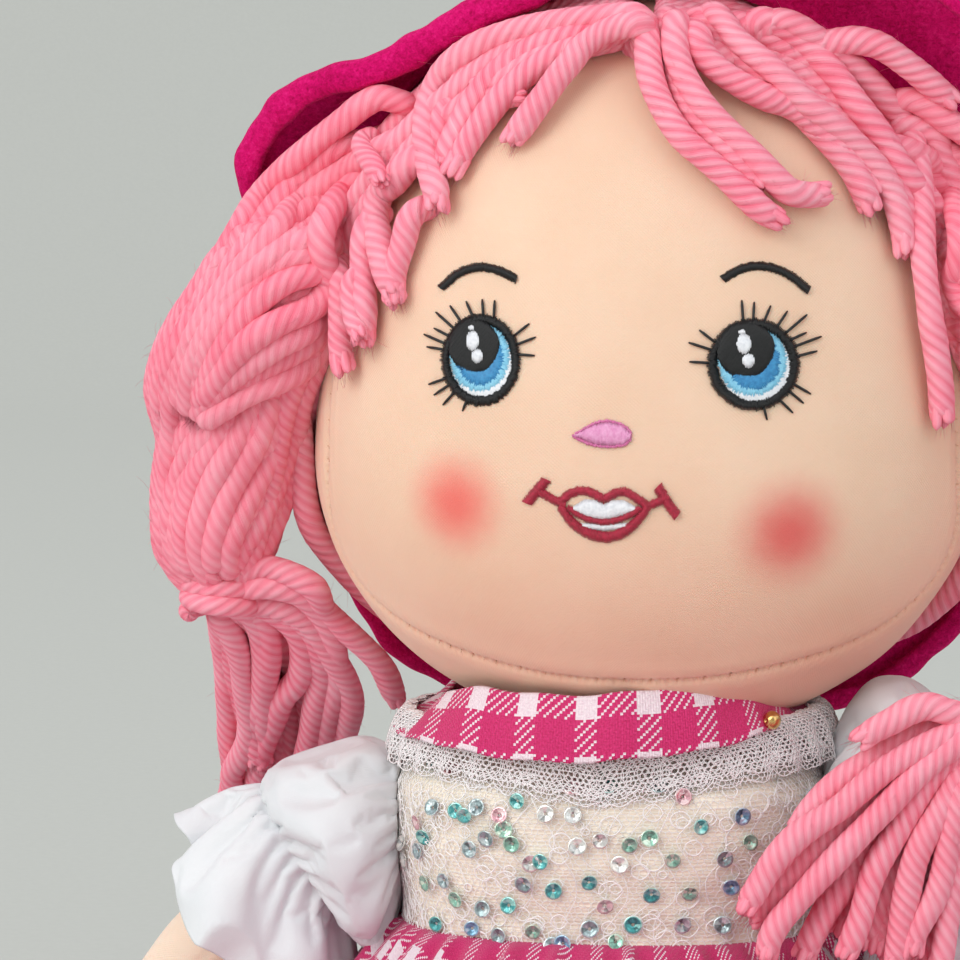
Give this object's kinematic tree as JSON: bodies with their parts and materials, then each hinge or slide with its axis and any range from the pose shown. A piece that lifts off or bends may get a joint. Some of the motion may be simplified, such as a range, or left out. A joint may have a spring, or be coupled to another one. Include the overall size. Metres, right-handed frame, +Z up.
{
  "type": "rag doll",
  "caption": "Seated cloth rag doll with stuffed head and limbs, yarn hair in two bunches, wide fleece hat, gingham dress and satin puff sleeves.",
  "frame": {"origin": "middle of the flat seat under the torso, on the surface that the doll sits on", "axes": "+Z up; the doll faces -Y with its legs along -Y; +X is the doll's own left"},
  "size_m": [0.223, 0.2347, 0.2277],
  "materials": {
    "skin_cloth": "plain woven cotton, matt",
    "pink_yarn": "chunky plied yarn, slightly fuzzy",
    "fleece": "magenta fleece with a rolled, topstitched edge",
    "gingham": "magenta and white gingham cotton",
    "satin": "white satin with soft folds",
    "lace": "white lace net over beige cloth, with cup sequins",
    "black_thread": "satin stitch, slight gloss",
    "pink_thread": "satin stitch, slight gloss",
    "red_thread": "satin stitch, slight gloss",
    "gold": "gold-coloured bead, polished"
  },
  "bodies": {
    "torso": {"torso": "skin_cloth", "bodice": "lace", "neck_lace": "lace", "collar": "gingham", "bead": "gold", "skirt": "gingham"},
    "neck": {"neck": "skin_cloth"},
    "head": {"head": "skin_cloth", "chin_seam": "skin_cloth", "eye_left": "black_thread", "eye_right": "black_thread", "brow_left": "black_thread", "brow_right": "black_thread", "nose": "pink_thread", "mouth": "red_thread", "hat_crown": "fleece", "hat_brim": "fleece", "hair_cap": "pink_yarn", "fringe_left": "pink_yarn", "fringe_right": "pink_yarn", "hair_bunch_left": "pink_yarn", "hair_bunch_right": "pink_yarn", "hair_tie_left": "pink_yarn", "hair_tie_right": "pink_yarn", "hair_tail_left": "pink_yarn", "hair_tail_right": "pink_yarn"},
    "shoulder_left": {"shoulder_left": "skin_cloth"},
    "shoulder_right": {"shoulder_right": "skin_cloth"},
    "arm_left": {"arm_left": "skin_cloth", "sleeve_left": "satin"},
    "arm_right": {"arm_right": "skin_cloth", "sleeve_right": "satin"},
    "leg_left": {"leg_left": "skin_cloth", "shoe_left": "fleece"},
    "leg_right": {"leg_right": "skin_cloth", "shoe_right": "fleece"}
  },
  "joints": [
    {"name": "neck_nod", "type": "hinge", "parent": "torso", "child": "neck", "pos_m": [0.006, 0, 0.078], "axis": [1, 0, 0], "range_deg": [-8, 8], "stiffness_Nm_per_rad": 0.8, "deforming": ["collar"]},
    {"name": "head_turn", "type": "hinge", "parent": "neck", "child": "head", "pos_m": [0.006, 0, 0.1], "axis": [0, 0, 1], "range_deg": [-25, 25], "stiffness_Nm_per_rad": 0.3, "deforming": ["hair_tail_left", "hair_tail_right"]},
    {"name": "shoulder_swing_left", "type": "hinge", "parent": "torso", "child": "shoulder_left", "pos_m": [0.0382, 0, 0.061], "axis": [1, 0, 0], "range_deg": [-70, 45]},
    {"name": "shoulder_swing_right", "type": "hinge", "parent": "torso", "child": "shoulder_right", "pos_m": [-0.0382, 0, 0.061], "axis": [1, 0, 0], "range_deg": [-70, 45]},
    {"name": "arm_raise_left", "type": "hinge", "parent": "shoulder_left", "child": "arm_left", "pos_m": [0.05049, 0, 0.061], "axis": [0, -1, 0], "range_deg": [-25, 45], "deforming": ["sleeve_left"]},
    {"name": "arm_raise_right", "type": "hinge", "parent": "shoulder_right", "child": "arm_right", "pos_m": [-0.05049, 0, 0.061], "axis": [0, 1, 0], "range_deg": [-25, 45], "deforming": ["sleeve_right"]},
    {"name": "leg_swing_left", "type": "hinge", "parent": "torso", "child": "leg_left", "pos_m": [0.02, -0.034, 0.0136], "axis": [1, 0, 0], "range_deg": [-40, 75], "deforming": ["skirt"]},
    {"name": "leg_swing_right", "type": "hinge", "parent": "torso", "child": "leg_right", "pos_m": [-0.02, -0.034, 0.0136], "axis": [1, 0, 0], "range_deg": [-40, 75]}
  ]
}
